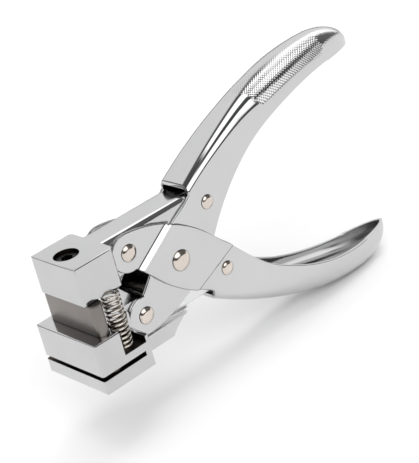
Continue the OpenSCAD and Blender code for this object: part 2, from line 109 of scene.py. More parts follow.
# Side view: the eye about the front pin, the middles of the lower edge's two arcs, the arcs of the top
EYE_R = 7.3
BELLY, RIM = np.array([-23.0, 31.4]), np.array([90.1, -49.2])
TIP_X, CREST_X, CREST_Z, GRIP_R, SHANK_R = 106.6, 87.7, 50.0, 103.0, 220.0
MOUTH_X, GRIP_START_X = 11.8, 49.3

# The plate's front edge: the angle where it leaves the eye, and its points as shares of the way from
# the front pin to the start of the channel's bend
WAIST_ANGLE = 80
FRONT_EDGE = ((0.123, 0.304), (0.203, 0.391), (0.352, 0.559), (0.46, 0.652), (0.558, 0.728),
              (0.674, 0.804), (0.8, 0.873), (0.942, 0.944), (1, 1))

# Half widths over the sheet: its plates inside and outside, the lower lever's raised plates, the grip
SHEET_T = 1.5
BASE_IN = 6.6
BASE_OUT = BASE_IN + SHEET_T
RAISED_OUT = 9.7
GRIP_HALF_W = 9.3

# Where the grip swells and tapers, and how the channel's corners grow into an arch
SWELL = (42.0, 64.0)
TAPER_X, TAPER_POWERS = 66.0, (1.7, 0.6)
CORNER_SHARE, CORNER_POWER, CORNER_LEAST = 0.42, 1.6, 0.5
ARCH_X, ARCH_LIMIT = 60.0, 0.94

# The lower lever's pressed steps: the land before each ramp, the ramp's width and the rounding of its
# ends, then land and width on the inside. The rim is fuller beside the step that ends at it.
STEP_LAND, STEP_W, STEP_ROUND = 0.1, 1.5, 0.12
LINING_LAND, LINING_W = 1.7, 0.6
STEP_END_X = 25.05
STEP_SWELL, SWELL_PLACES = 2.1, (15.5, 24.3, 42.0)

BELLY_R = np.hypot(*(BELLY - FRONT_PIN)) + EYE_R
RIM_R = np.hypot(*(RIM - BELLY)) - BELLY_R
RIM_TOP = RIM[1] + RIM_R
TURN_X = BELLY[0] + (RIM[0] - BELLY[0]) * BELLY_R / (BELLY_R + RIM_R)
# Direction from the belly's middle through the front pin, in which the belly's arc meets the eye's
EYE_TURN = -math.atan2(BELLY[1] - FRONT_PIN[1], FRONT_PIN[0] - BELLY[0])
GRIP_CZ = CREST_Z - GRIP_R
START_U = (GRIP_START_X - CREST_X) / GRIP_R
START_V = math.sqrt(1 - START_U**2)
SHANK_C = (CREST_X + (GRIP_R - SHANK_R) * START_U, GRIP_CZ + (GRIP_R - SHANK_R) * START_V)


def smooth(v):
    """0 to 1 with level ends."""
    v = np.clip(v, 0, 1)
    return v * v * (3 - 2 * v)


def rim(x, stepped=False):
    """Height of the lever's lower edge, which is fuller beside the lower lever's step."""
    belly = BELLY[1] - np.sqrt(np.maximum(BELLY_R**2 - (x - BELLY[0]) ** 2, 0))
    arc = RIM[1] + np.sqrt(np.maximum(RIM_R**2 - (x - RIM[0]) ** 2, 0))
    level = np.where(x < TURN_X, belly, np.where(x < RIM[0], arc, RIM_TOP))
    if not stepped:
        return level
    a, b, c = SWELL_PLACES
    return level - STEP_SWELL * smooth(np.where(x < b, (x - a) / (b - a), (c - x) / (c - b)))


def crest(x, t):
    """Height of the channel's top, inwards by t."""
    shank = SHANK_C[1] + np.sqrt(np.maximum((SHANK_R - t) ** 2 - (x - SHANK_C[0]) ** 2, 0))
    grip = GRIP_CZ + np.sqrt(np.maximum((GRIP_R - t) ** 2 - (x - CREST_X) ** 2, 0))
    share = np.clip((x - CREST_X) / (TIP_X - t - CREST_X), 0, 1)
    nose = RIM_TOP + (CREST_Z - RIM_TOP - t) * np.sqrt(1 - share**2)
    return np.where(x < GRIP_START_X, shank, np.where(x < CREST_X, grip, nose))


def half_w(x, t):
    """Half width of the channel, inwards by t."""
    v = np.clip((x - TAPER_X) / (TIP_X - t - TAPER_X), 0, 1)
    wide = BASE_OUT - t + (GRIP_HALF_W - BASE_OUT) * smooth((x - SWELL[0]) / (SWELL[1] - SWELL[0]))
    return wide * (1 - v ** TAPER_POWERS[0]) ** TAPER_POWERS[1]


def bend(x, t, stepped):
    """Width and height of the bend between the channel's wall and its top."""
    way = np.clip((x - MOUTH_X) / (ARCH_X - MOUTH_X), 0, 1)
    share = CORNER_SHARE + (1 - CORNER_SHARE) * way**CORNER_POWER
    w = np.minimum(np.maximum(half_w(x, 0) * share - t, CORNER_LEAST), half_w(x, t) * ARCH_LIMIT)
    return w, np.minimum(w, (crest(x, t) - rim(x, stepped)) * ARCH_LIMIT)


def section(x, t, tau, stepped):
    """Points (y, z) of the far half: tau is 0 at the rim, 1 and 2 at the bend's ends, 3 at the middle."""
    w, c = half_w(x, t), crest(x, t)
    rw, rh = bend(x, t, stepped)
    z0 = rim(x, stepped)
    a = (np.clip(tau, 1, 2) - 1) * math.pi / 2
    y = np.where(tau <= 2, w - rw * (1 - np.cos(a)), (w - rw) * (3 - tau))
    z = np.where(tau <= 1, z0 + (c - rh - z0) * tau, c - rh * (1 - np.sin(a)))
    return y, z


# Rows of the channel's mesh, from the middle of its top down to its rim
ROWS, KNURL_ROWS = 50, 46
TOP_ROWS, BEND_ROWS = 8, 12
BEND_ROW = TOP_ROWS + BEND_ROWS
# Stations of the channel's mesh. Up to WALL_X its wall belongs to the side plates, and from FULL_X on
# its rows are spaced by length.
MOUTH_STATIONS, SHANK_STATIONS, NOSE_STATIONS = 16, 20, 44
WALL_X, FULL_X = 27.0, 44.0
# Rounding of the sheet's edges, which is kept from overlapping itself behind NOSE_X
SHEET_ROUND, NOSE_X = 0.42, 90.0

# Knurl: the mesh's step in it, its period in such steps, its depth and how flat its ridges are
PITCH, KNURL_PERIOD, KNURL_DEPTH, KNURL_FLAT = 0.31, 4, 0.14, 0.8
# Its ends, how much later it starts at its sides, and the most of the section's length that it covers
KNURL_FROM, KNURL_TO, KNURL_SLANT, KNURL_REACH = 46.5, 95.0, 4.5, 0.86
# Over what length it fades in and out along the grip, and over how many rows at its sides
FADE_IN, FADE_OUT, FADE_ROWS = 2.2, 8, 5
# It is shallower on top: its share of the depth there, the row where it grows and over how many rows
TOP_SHARE, GROW_ROW, GROW_ROWS = 0.68, 8, 14
# Up to this share of the knurl, faces stay smooth
LEAST_KNURL = 0.1
CHANNEL_MIDDLE = (45, 0, 20)


def row_taus(x, stepped):
    """tau of each row at station x: by parts near the mouth, by length in the grip."""
    parts = np.concatenate([
        3 - np.arange(TOP_ROWS) / TOP_ROWS,
        2 - np.arange(BEND_ROWS) / BEND_ROWS,
        1 - np.arange(ROWS - BEND_ROW + 1) / (ROWS - BEND_ROW),
    ])
    fine = np.linspace(3, 0, 601)
    y, z = section(x, 0, fine, stepped)
    run = np.concatenate([[0], np.cumsum(np.hypot(np.diff(y), np.diff(z)))])
    whole = run[-1]
    reach = min(KNURL_ROWS * PITCH, whole * KNURL_REACH)
    by_length = np.concatenate([
        np.linspace(0, reach, KNURL_ROWS + 1),
        np.linspace(reach, whole, ROWS - KNURL_ROWS + 1)[1:],
    ])
    of_parts = np.interp(-parts, -fine, run)
    share = float(smooth((x - WALL_X) / (FULL_X - WALL_X)))
    return np.interp(of_parts * (1 - share) + by_length * share, run, fine)


def station_places():
    """x of every station outside and inside, and the index where the knurl's even steps start."""
    xs = list(np.linspace(MOUTH_X, WALL_X, MOUTH_STATIONS))
    xs += list(np.linspace(WALL_X, KNURL_FROM, SHANK_STATIONS)[1:])
    start = len(xs) - 1
    x = KNURL_FROM
    while x < CREST_X - PITCH / 2:
        slope = float(crest(x + 0.1, 0) - crest(x - 0.1, 0)) / 0.2
        x += PITCH / math.hypot(1, slope)
        xs.append(x)
    first = (xs[-1] - CREST_X) / (TIP_X - CREST_X)
    turns = np.linspace(math.asin(max(first, 0)), math.pi / 2, NOSE_STATIONS)[1:-1]
    shares = np.sin(turns)
    outer = xs + list(CREST_X + (TIP_X - CREST_X) * shares)
    inner = xs + list(CREST_X + (TIP_X - SHEET_T - CREST_X) * shares)
    return np.array(outer), np.array(inner), start


def skin_points(xs, t, taus, stepped):
    """Points of the channel's far half at every station and row, inwards by t."""
    y, z = section(xs[:, None], t, taus, stepped)
    return np.stack([np.broadcast_to(xs[:, None], y.shape), y, z], 2)


def knurled(skin, start):
    """The skin with grooves along both diagonals of its mesh, their height, and how much of them shows."""
    stations, rows = np.indices(skin.shape[:2])
    steps = stations - start

    def wave(k):
        v = (k % KNURL_PERIOD) / KNURL_PERIOD
        return 1 - np.abs(2 * v - 1)

    height = np.minimum(np.minimum(wave(steps + rows), wave(steps - rows)), KNURL_FLAT) / KNURL_FLAT
    along = skin[:, :1, 0]
    edge = KNURL_FROM + KNURL_SLANT * smooth(rows / KNURL_ROWS)
    mask = smooth((along - edge) / FADE_IN) * smooth((KNURL_TO - along) / FADE_OUT)
    mask = mask * smooth((KNURL_ROWS - rows) / FADE_ROWS)
    normal = np.cross(np.gradient(skin, axis=0), np.gradient(skin, axis=1))
    normal /= np.maximum(np.linalg.norm(normal, axis=2, keepdims=True), 1e-9)
    normal *= np.sign(np.sum(normal * (skin - CHANNEL_MIDDLE), axis=2, keepdims=True))
    grown = TOP_SHARE + (1 - TOP_SHARE) * smooth((rows - GROW_ROW) / GROW_ROWS)
    press = KNURL_DEPTH * (1 - height) * mask * grown
    return skin - normal * press[:, :, None], height, mask


def inside(points, outline):
    """Which points lie in the closed outline."""
    x, z = points[:, 0][:, None], points[:, 1][:, None]
    a, b = outline, np.roll(outline, -1, axis=0)
    cross = (a[:, 1] > z) != (b[:, 1] > z)
    dz = np.where(b[:, 1] == a[:, 1], 1e-12, b[:, 1] - a[:, 1])
    at = a[:, 0] + (z - a[:, 1]) * (b[:, 0] - a[:, 0]) / dz
    return (cross & (x < at)).sum(1) % 2 == 1


def near_outline(points, outline):
    """Distance of each point to the outline's points."""
    return np.sqrt(((points[:, None, :] - outline[None]) ** 2).sum(2)).min(1)


def even_steps(line, step):
    """A polyline with its long edges cut into even steps; its own points stay."""
    made = [line[0]]
    for a, b in zip(line[:-1], line[1:]):
        n = max(1, int(round(float(np.hypot(*(b - a))) / step)))
        made += [a + (b - a) * i / n for i in range(1, n + 1)]
    return np.array(made)


def cut_corners(line, times):
    """Rounds the corners of a polyline; its ends stay."""
    for _ in range(times):
        a, b = line[:-1], line[1:]
        cut = np.stack([a * 0.75 + b * 0.25, a * 0.25 + b * 0.75], 1).reshape(-1, 2)
        line = np.vstack([line[:1], cut[1:-1], line[-1:]])
    return line


def circle(centre, r, turns):
    return np.array(centre) + r * np.stack([np.cos(turns), np.sin(turns)], 1)


# The lines on the lower lever's plates along which its two steps are pressed
STEPS = (
    (np.array([-1.76, -14.85]), np.array([-17.06, -5.05])),
    (np.array([6.33, 15.31]), np.array([STEP_END_X, float(rim(STEP_END_X, True))])),
)


def step_axes(line):
    """Directions along a step's line and to its right."""
    d = (line[1] - line[0]) / np.hypot(*(line[1] - line[0]))
    return d, np.array([d[1], -d[0]])


def right_of(line, points):
    return (points - line[0]) @ step_axes(line)[1]


def flat_ramp(v):
    """0 to 1 along a straight ramp whose ends are rounded."""
    def hinge(u):
        e = STEP_ROUND
        return np.where(u < -e, 0, np.where(u > e, u, (u + e) ** 2 / (4 * e)))
    return hinge(v) - hinge(v - 1)


def raised(points, land, width):
    """How far one skin of the lower lever's sheet stands out at these points."""
    ramps = [flat_ramp((right_of(s, points) - land) / width) for s in STEPS]
    return (RAISED_OUT - BASE_OUT) * np.minimum(*ramps)


# The plates' mesh: its loose grid, its steps along edges and ramps, the gaps that it keeps to the outline,
# the holes and the ramps, and the rows of points along each ramp, by shares of the ramp's width
GRID, EDGE_STEP = 1.6, 0.8
OUTLINE_GAP, HOLE_GAP, RAMP_GAP = 0.66, 0.4, 0.6
HOLE_SIDES, BELLY_POINTS, EYE_POINTS = 40, 76, 48
OUTER_ROWS = (-0.36, -0.24, -0.12, -0.06, 0, 0.06, 0.12, 0.5, 0.88, 0.94, 1, 1.06)
INNER_ROWS = (0.2, 0.5, 0.8, 1.1)
RAMP_ROWS = sorted([STEP_LAND + STEP_W * v for v in OUTER_ROWS]
                   + [LINING_LAND + LINING_W * v for v in INNER_ROWS])


def plate_points(stepped, outline):
    """Inner points of a plate: a loose grid, and rows along the steps' ramps."""
    lo, hi = outline.min(0), outline.max(0)
    gx, gz = np.meshgrid(np.arange(lo[0], hi[0], GRID), np.arange(lo[1], hi[1], GRID))
    found = np.stack([gx.ravel() + (gz.ravel() / GRID % 2) * GRID / 4, gz.ravel()], 1)
    if stepped:
        first, last = RAMP_ROWS[0] - RAMP_GAP, RAMP_ROWS[-1] + RAMP_GAP
        away = [(right_of(s, found) < first) | (right_of(s, found) > last) for s in STEPS]
        groups = [found[away[0] & away[1]]]
        along = np.arange(-40, 60, EDGE_STEP)
        for line in STEPS:
            d, across = step_axes(line)
            groups += [line[0] + along[:, None] * d + across * off for off in RAMP_ROWS]
        found = np.vstack(groups)
    found = found[inside(found, outline)]
    return found[near_outline(found, outline) > OUTLINE_GAP]


def plate_mesh(border, stepped, holes):
    """Points of a side plate, which of the border's points each one stands for, and the plate's faces.

    Its outline is the border with the channel, the belly back to the eye, the eye and the front edge.
    """
    belly_x = np.linspace(WALL_X, BELLY[0] + BELLY_R * math.cos(EYE_TURN), BELLY_POINTS)[1:-1]
    belly = np.stack([belly_x, rim(belly_x, stepped)], 1)
    eye = circle(FRONT_PIN, EYE_R, np.linspace(EYE_TURN, math.radians(WAIST_ANGLE - 360), EYE_POINTS))
    front = [FRONT_PIN + np.array(share) * (border[0] - FRONT_PIN) for share in FRONT_EDGE]
    front = even_steps(cut_corners(np.vstack([eye[-1:], front]), 2), EDGE_STEP)[1:-1]
    outline = np.vstack([border, belly, eye, front])
    loose = plate_points(stepped, outline)
    rings, edges, at = [], [], len(outline)
    for centre, r in holes:
        rings.append(circle(centre, r, np.linspace(0, 2 * math.pi, HOLE_SIDES, endpoint=False)))
        loose = loose[np.hypot(*(loose - centre).T) > r + HOLE_GAP]
        edges += [(at + i, at + (i + 1) % HOLE_SIDES) for i in range(HOLE_SIDES)]
        at += HOLE_SIDES
    points = [Vector(p) for p in np.vstack([outline, *rings, loose])]
    made = delaunay_2d_cdt(points, edges, [list(range(len(outline)))], 1, 1e-5)
    places = np.array([tuple(v) for v in made[0]])
    middles = [places[list(f)].mean(0) for f in made[2]]
    faces = [f for f, c in zip(made[2], middles) if all(math.dist(c, hole) >= r for hole, r in holes)]
    sources = [[k for k in source if k < len(border)] for source in made[3]]
    return places, sources, faces


def make_handle(name, stepped, rear_pin):
    """A lever: its outer and its inner skin, both meshed as a far half that is mirrored, and joined."""
    outer_x, inner_x, start = station_places()
    taus = np.array([row_taus(x, stepped) for x in outer_x])
    skin, height, mask = knurled(skin_points(outer_x, 0, taus, stepped), start)
    lining = skin_points(inner_x, SHEET_T, taus, stepped)
    wall = int(np.argmin(np.abs(outer_x - WALL_X)))
    last = len(outer_x) - 1
    ids, out_pts, in_pts = {}, [], []
    faces, flats = [], []

    def vert(key, a, b):
        if key not in ids:
            ids[key] = len(out_pts)
            out_pts.append(a)
            in_pts.append(b)
        return ids[key]

    def grid_vert(s, r, side):
        flip = np.array([1, side, 1])
        return vert(("g", s, r, side if r else 0), skin[s, r] * flip, lining[s, r] * flip)

    def add_face(side, corners, flat=False):
        faces.append(corners if side > 0 else corners[::-1])
        flats.append(flat)

    for side in (-1, 1):
        for s in range(last):
            for r in range(BEND_ROW if s < wall else ROWS):
                q = [(s, r), (s + 1, r), (s + 1, r + 1), (s, r + 1)]
                v = [grid_vert(a, b, side) for a, b in q]
                if mask[s, r] <= LEAST_KNURL:
                    add_face(side, v)
                    continue
                low = height[q[0]] + height[q[2]] <= height[q[1]] + height[q[3]]
                for p in ((0, 1, 2), (0, 2, 3)) if low else ((0, 1, 3), (1, 2, 3)):
                    add_face(side, [v[i] for i in p], True)
    tip = vert("tip", np.array([TIP_X, 0, RIM_TOP]), np.array([TIP_X - SHEET_T, 0, RIM_TOP]))
    for side in (-1, 1):
        for r in range(ROWS):
            add_face(side, [grid_vert(last, r, side), tip, grid_vert(last, r + 1, side)])

    # Side plates, which share the channel's points along the bend's start and down the wall
    shared = [(s, BEND_ROW) for s in range(wall + 1)] + [(wall, r) for r in range(BEND_ROW + 1, ROWS + 1)]
    border = np.array([skin[k][[0, 2]] for k in shared])
    holes = ((tuple(FRONT_PIN), PIN_HOLE), ((0, 0), PIVOT_HOLE), (rear_pin, PIN_HOLE))
    places, sources, plate_faces = plate_mesh(border, stepped, holes)
    out = np.zeros((2, len(places)))
    if stepped:
        out = [raised(places, STEP_LAND, STEP_W), raised(places, LINING_LAND, LINING_W)]
    for side in (-1, 1):
        names = []
        for i, (p, source) in enumerate(zip(places, sources)):
            if source:
                names.append(grid_vert(*shared[source[0]], side))
            else:
                names.append(vert(("p", i, side), np.array([p[0], side * (BASE_OUT + out[0][i]), p[1]]),
                                  np.array([p[0], side * (BASE_IN + out[1][i]), p[1]])))
        for f in plate_faces:
            add_face(1, [names[i] for i in f])

    sign = -1 if stepped else 1
    return toned(sheet_solid(name, sign, out_pts, in_pts, faces, flats), sign, stepped)


def sheet_solid(name, sign, out_pts, in_pts, faces, flats):
    """The closed sheet between its outer and inner skin, with rounded edges."""
    def place(p):
        return Vector((PIVOT + np.array([p[0], p[1], sign * p[2]])) * MM)

    bm = bmesh.new()
    outer = [bm.verts.new(place(p)) for p in out_pts]
    inner = [bm.verts.new(place(p)) for p in in_pts]
    for f, flat in zip(faces, flats):
        bm.faces.new([outer[i] for i in f]).smooth = not flat
        bm.faces.new([inner[i] for i in reversed(f)]).smooth = True
    bm.edges.ensure_lookup_table()
    index = {v: i for i, v in enumerate(outer)}
    open_edges = [e for e in bm.edges if len(e.link_faces) == 1 and e.verts[0] in index]
    corners = []
    for e in open_edges:
        a, b = (index[v] for v in e.verts)
        bm.faces.new([outer[a], outer[b], inner[b], inner[a]]).smooth = True
        corners += [e, bm.edges.get([inner[a], inner[b]])]
    bmesh.ops.recalc_face_normals(bm, faces=bm.faces)
    nose_x = (PIVOT[0] + NOSE_X) * MM
    for nose in (False, True):
        part = [e for e in set(corners) if e.is_valid and (max(v.co.x for v in e.verts) > nose_x) == nose]
        bmesh.ops.bevel(bm, geom=part, offset=SHEET_ROUND * MM, offset_type="OFFSET",
                        segments=3, profile=0.5, affect="EDGES", clamp_overlap=nose)
    return finished(name, bm)


SMOOTH_ANGLE = math.radians(32)


def finished(name, bm):
    mesh = bpy.data.meshes.new(name)
    bm.to_mesh(mesh)
    bm.free()
    mesh.set_sharp_from_angle(angle=SMOOTH_ANGLE)
    return placed(name, mesh)


def store(obj, name, values):
    """Stores a number at each point of the mesh, for its material."""
    obj.data.attributes.new(name, "FLOAT", "POINT").data.foreach_set("value", values.astype(np.float32))


# Painted shade on the levers' sheet, as tones of which 1 is unshaded: inside the channel, from where it
# clears and over what length; and on the lower lever, its cut edges, and between two distances from each
# step's line
LINING_PAINTED_SHADE, LINING_FROM, LINING_WAY = 0.06, 16, 30
CUT_PAINTED_SHADE = 0.45
STEP_PAINTED_SHADES = ((-0.3, 0.15, 0.05), (1.3, 1.7, 0.2))
# The least roughness of the grips' noses, from where it grows and over what length
SATIN_NOSE, SATIN_FROM, SATIN_W = 0.24, 78.0, 16.0


def toned(obj, sign, stepped):
    """Stores a lever's painted shade in its channel and at its steps and cut edges, and how satin its nose.
    """
    co = np.array([v.co for v in obj.data.vertices]) / MM - PIVOT
    x, y, z = co[:, 0], np.abs(co[:, 1]), co[:, 2] * sign
    lining = (y < half_w(x, SHEET_T) + 0.2) & (z < crest(x, SHEET_T) + 0.3) & (x > MOUTH_X - 0.2) & (z > 0)
    # Painted shade: the channel's inside is darkest at its mouth and clears deeper in
    lining_shade = LINING_PAINTED_SHADE + (1 - LINING_PAINTED_SHADE) * smooth((x - LINING_FROM) / LINING_WAY)
    tone = np.where(lining, lining_shade, 1)
    if stepped:
        flat = np.stack([x, z], 1)
        outer = BASE_OUT + raised(flat, STEP_LAND, STEP_W)
        inner = BASE_IN + raised(flat, LINING_LAND, LINING_W)
        # Painted shade: the lower lever's cut edges are darkened, for the dark line along its raised plates'
        # edges
        cut = (y < outer - 0.04) & (y > inner + 0.04) & (x < WALL_X)
        cut &= (x < MOUTH_X) | (z < rim(x, stepped) + 0.3)
        tone = np.where(cut, CUT_PAINTED_SHADE, tone)
        # Painted shade: a dark line along each step, at the first one's foot and at the top of the second
        # one's ramp
        for line, (low, high, step_shade) in zip(STEPS, STEP_PAINTED_SHADES):
            d = right_of(line, flat)
            tone = np.where((d > low) & (d < high) & (y > BASE_OUT - 0.1), step_shade, tone)
    store(obj, "tone", tone)
    store(obj, "satin", SATIN_NOSE * smooth((x - SATIN_FROM) / SATIN_W))
    return obj


upper_handle = make_handle("upper_handle_sheet", False, UPPER_REAR)
lower_handle = make_handle("lower_handle_sheet", True, LOWER_REAR)


def join_rings(bm, rings):
    """Smooth quads from each ring of vertices to the next."""
    n = len(rings[0])
    for one, two in zip(rings[:-1], rings[1:]):
        for k in range(n):
            m = (k + 1) % n
            bm.faces.new([one[k], one[m], two[m], two[k]]).smooth = True


# Springs: round wire. Over its last DEAD turns at each end it only rises by END_RISE, and so lies closed.
SPRING_R, WIRE_R = 2.95, 0.45
CURLS, DEAD = 12, 0.85
END_RISE = 2.2 * WIRE_R
CURL_STEPS, WIRE_SIDES = 32, 12
SPRING_BOX = {n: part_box(n) for n in ("near_spring", "far_spring")}


def make_spring(name, node, side):
    lo, hi = SPRING_BOX[node]
    centre = (lo + hi) / 2
    length = (hi - lo).z / MM
    turns = np.linspace(0, CURLS, CURLS * CURL_STEPS + 1)
    active = np.clip((turns - DEAD) / (CURLS - 2 * DEAD), 0, 1)
    ends = END_RISE * (np.clip(turns / DEAD, 0, 1) + np.clip((turns - CURLS + DEAD) / DEAD, 0, 1))
    z = WIRE_R + ends + (length - 2 * WIRE_R - 2 * END_RISE) * active
    a = turns * 2 * math.pi * side
    line = np.stack([SPRING_R * np.cos(a), SPRING_R * np.sin(a), z], 1)
    bm = bmesh.new()
    rings = []
    for p, t in zip(line, np.gradient(line, axis=0)):
        t = t / np.linalg.norm(t)
        n = np.array([p[0], p[1], 0]) / SPRING_R
        n = n - t * (n @ t)
        n /= np.linalg.norm(n)
        b = np.cross(t, n)
        ring = []
        for k in range(WIRE_SIDES):
            u = 2 * math.pi * k / WIRE_SIDES
            q = p + WIRE_R * (math.cos(u) * n + math.sin(u) * b)
            ring.append(bm.verts.new(Vector((centre.x, centre.y, lo.z)) + Vector(q) * MM))
        rings.append(ring)
    join_rings(bm, rings)
    for ring in (rings[0], rings[-1]):
        bm.faces.new(ring)
    bmesh.ops.recalc_face_normals(bm, faces=bm.faces)
    return finished(name, bm)


near_spring = make_spring("near_spring_wire", "near_spring", 1)
far_spring = make_spring("far_spring_wire", "far_spring", -1)

# Rivets: radius of the shank and of the head, height of the head, and the body that carries it
RIVETS = {
    "pivot_rivet": (2.5, 4.0, 1.52, "lower_lever_body"),
    "upper_front_rivet": (2.0, 3.25, 1.235, "lower_lever_body"),
    "lower_front_rivet": (2.0, 3.25, 1.235, "upper_lever_body"),
    "upper_rear_rivet": (2.0, 2.75, 1.045, "upper_lever_body"),
    "lower_rear_rivet": (2.0, 2.75, 1.045, "lower_lever_body"),
}
RIVET_SIDES, DOME_STEPS = 64, 12
# The head's foot is cut in and up. The dome starts at a share of the radius, at least so far up, and its
# crown, inside another share, rises to only a share of the dome's height there.
FOOT_IN, FOOT_UP = 0.12, 0.1
DOME_SHARE, DOME_UP = 0.985, 0.16
CROWN_SHARE, CROWN_RISE = 0.55, 0.55
# Width and tone of the ring of painted shade at each head's foot
FOOT_W, FOOT_PAINTED_SHADE = 0.2, 0.15


def make_rivet(name, node, shank_r, head_r, dome):
    """A rivet turned about Y, with domed heads whose feet are rounded and darkened by painted shade."""
    lo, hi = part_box(node)
    centre = (lo + hi) / 2
    half = (hi - lo).y / 2 / MM
    seat = half - dome
    dome_r = (head_r**2 + dome**2) / (2 * dome)
    crown_r = head_r * CROWN_SHARE
    crown_y = seat + dome - dome_r + math.sqrt(dome_r**2 - crown_r**2)
    profile = [(shank_r, 0), (shank_r, seat), (head_r - FOOT_IN, seat), (head_r, seat + FOOT_UP)]
    for i in range(DOME_STEPS):
        r = head_r * (1 - i / DOME_STEPS) * DOME_SHARE
        y = seat + dome - dome_r + math.sqrt(dome_r**2 - r * r)
        profile.append((r, max(y, seat + DOME_UP) if r > crown_r else crown_y + (y - crown_y) * CROWN_RISE))
    turns = [2 * math.pi * k / RIVET_SIDES for k in range(RIVET_SIDES)]
    bm = bmesh.new()
    rings = []
    for sign in (-1, 1):
        for r, y in (profile[::-1] if sign < 0 else profile):
            spots = [Vector((r * math.cos(a), sign * y, r * math.sin(a))) for a in turns]
            rings.append([bm.verts.new(centre + spot * MM) for spot in spots])
    join_rings(bm, rings)
    for ring, sign in ((rings[0], -1), (rings[-1], 1)):
        middle = bm.verts.new(centre + Vector((0, sign * half, 0)) * MM)
        for k in range(RIVET_SIDES):
            bm.faces.new([ring[k], ring[(k + 1) % RIVET_SIDES], middle]).smooth = True
    bmesh.ops.remove_doubles(bm, verts=bm.verts, dist=1e-6)
    bmesh.ops.recalc_face_normals(bm, faces=bm.faces)
    obj = finished(name, bm)
    co = np.array([v.co for v in obj.data.vertices]) - np.array(centre)
    # Painted shade in a ring at each head's foot
    foot = np.hypot(co[:, 0], co[:, 2]) / MM > head_r - FOOT_W
    store(obj, "tone", np.where(foot, FOOT_PAINTED_SHADE, 1))
    return obj


# Finishes
def fill(tree, node, inputs):
    """Sets a node's inputs: another node's output is linked, a number or colour is written."""
    for key, value in inputs.items():
        if isinstance(value, bpy.types.NodeSocket):
            tree.links.new(value, node.inputs[key])
        else:
            node.inputs[key].default_value = value


def add(tree, kind, inputs=None, **settings):
    node = tree.nodes.new(kind)
    for key, value in settings.items():
        setattr(node, key, value)
    fill(tree, node, inputs or {})
    return node


def new_material(name):
    material = bpy.data.materials.new(name)
    material.use_nodes = True
    tree = material.node_tree
    return material, tree, tree.nodes["Principled BSDF"]


def noise(tree, coords, scale, detail, rough=0.55):
    inputs = {"Vector": coords, "Scale": scale, "Detail": detail, "Roughness": rough}
    return add(tree, "ShaderNodeTexNoise", inputs).outputs["Fac"]


def ramp(tree, source, stops):
    """Colours or greys along a number: each stop is a place and a colour or grey."""
    node = add(tree, "ShaderNodeValToRGB", {"Fac": source})
    ends = node.color_ramp.elements
    while len(ends) < len(stops):
        ends.new(0.5)
    for e, (at, colour) in zip(ends, stops):
        e.position = at
        e.color = (*colour, 1) if isinstance(colour, tuple) else (colour, colour, colour, 1)
    return node.outputs["Color"]


def coordinates(tree, stretch=(1, 1, 1)):
    coords = add(tree, "ShaderNodeTexCoord").outputs["Object"]
    if stretch == (1, 1, 1):
        return coords
    return add(tree, "ShaderNodeMapping", {"Vector": coords, "Scale": stretch}).outputs["Vector"]


def combined(tree, kind, operation, a, b):
    """Two numbers or colours put together by one of the math nodes."""
    return add(tree, kind, {0: a, 1: b}, operation=operation).outputs[0]


def stored(name):
    """A function that reads in a material what store() wrote under this name."""
    return lambda tree: add(tree, "ShaderNodeAttribute", attribute_name=name).outputs["Fac"]


# Depths of the unevenness and of the grain, in metres
UNEVEN_DEPTH, GRAIN_DEPTH = 0.0004, 0.00005


def metal(name, light, dark, rough, wear, bump, stretch=(1, 1, 1), grain=900, shade=None, satin=None):
    """A metal whose colour and gloss vary softly, with fine grain and a slight unevenness.

    wear and grain are the scales of the unevenness and of the grain, and bump is their strengths. shade
    darkens the colour, and satin is the least roughness: both are functions of the node tree.
    """
    material, tree, shader = new_material(name)
    coords = coordinates(tree)
    colour = ramp(tree, noise(tree, coords, 45, 4), [(0.3, dark), (0.7, light)])
    if shade:
        colour = combined(tree, "ShaderNodeVectorMath", "MULTIPLY", colour, shade(tree))
    gloss = noise(tree, coordinates(tree, stretch), grain, 5, 0.7)
    roughness = ramp(tree, gloss, [(0.3, rough[0]), (0.75, rough[1])])
    if satin:
        roughness = combined(tree, "ShaderNodeMath", "MAXIMUM", roughness, satin(tree))
    uneven = {"Strength": bump[0], "Distance": UNEVEN_DEPTH, "Height": noise(tree, coords, wear, 2)}
    normal = add(tree, "ShaderNodeBump", uneven).outputs["Normal"]
    grained = {"Strength": bump[1], "Distance": GRAIN_DEPTH, "Height": gloss, "Normal": normal}
    normal = add(tree, "ShaderNodeBump", grained).outputs["Normal"]
    fill(tree, shader, {"Metallic": 1.0, "Base Color": colour, "Roughness": roughness, "Normal": normal})
    return material


# Heights between which the blade shows, in metres: the head's top, and just under the block
BLADE_SHOWN = (0.0194, 0.0314)
# Painted shade along the blade: shares of its shown height, and tones
BLADE_PAINTED_SHADE = [(0, 0.35), (0.03, 0.8), (0.1, 1), (0.92, 1.05), (1, 0.4)]


def blade_painted_shade(tree):
    """Painted shade: the blade is darkest just above the head and just under the block."""
    height = add(tree, "ShaderNodeSeparateXYZ", {"Vector": coordinates(tree)}).outputs["Z"]
    low, high = BLADE_SHOWN
    share = add(tree, "ShaderNodeMapRange", {"Value": height, "From Min": low, "From Max": high})
    return ramp(tree, share.outputs["Result"], BLADE_PAINTED_SHADE)


SHEET = metal("sheet_chrome", (0.59, 0.59, 0.592), (0.57, 0.57, 0.572), (0.04, 0.09), 60, (0.05, 0.04),
              shade=stored("tone"), satin=stored("satin"))
CASTING = metal("cast_chrome", (0.57, 0.57, 0.574), (0.53, 0.53, 0.534), (0.09, 0.17), 120, (0.10, 0.08))
# Painted shade: a near-black metal for the hollows and the throat, where only shade falls
HOLLOW_PAINTED_SHADE = metal("cast_painted_shade", (0.06, 0.045, 0.038), (0.03, 0.022, 0.018), (0.30, 0.50), 150, (0.2, 0.2))
